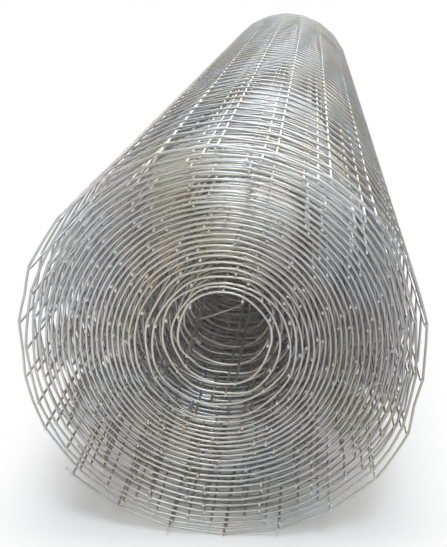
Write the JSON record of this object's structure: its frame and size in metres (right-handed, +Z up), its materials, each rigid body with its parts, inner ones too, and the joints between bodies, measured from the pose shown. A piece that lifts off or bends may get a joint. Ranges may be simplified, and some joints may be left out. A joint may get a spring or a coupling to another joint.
{
  "type": "roll of welded wire mesh fencing",
  "caption": "Roll of galvanised square welded wire mesh lying on its side, wound round a hollow core, as stock for fences, cages and guards.",
  "frame": {"origin": "on the floor, under the middle of the roll", "axes": "+Y along the roll, away from the pictured end; +Z up"},
  "size_m": [0.188, 1.2252, 0.188],
  "materials": {
    "zinc_wire": "dull galvanised"
  },
  "bodies": {
    "root": {"mesh_roll": "zinc_wire"}
  },
  "joints": []
}
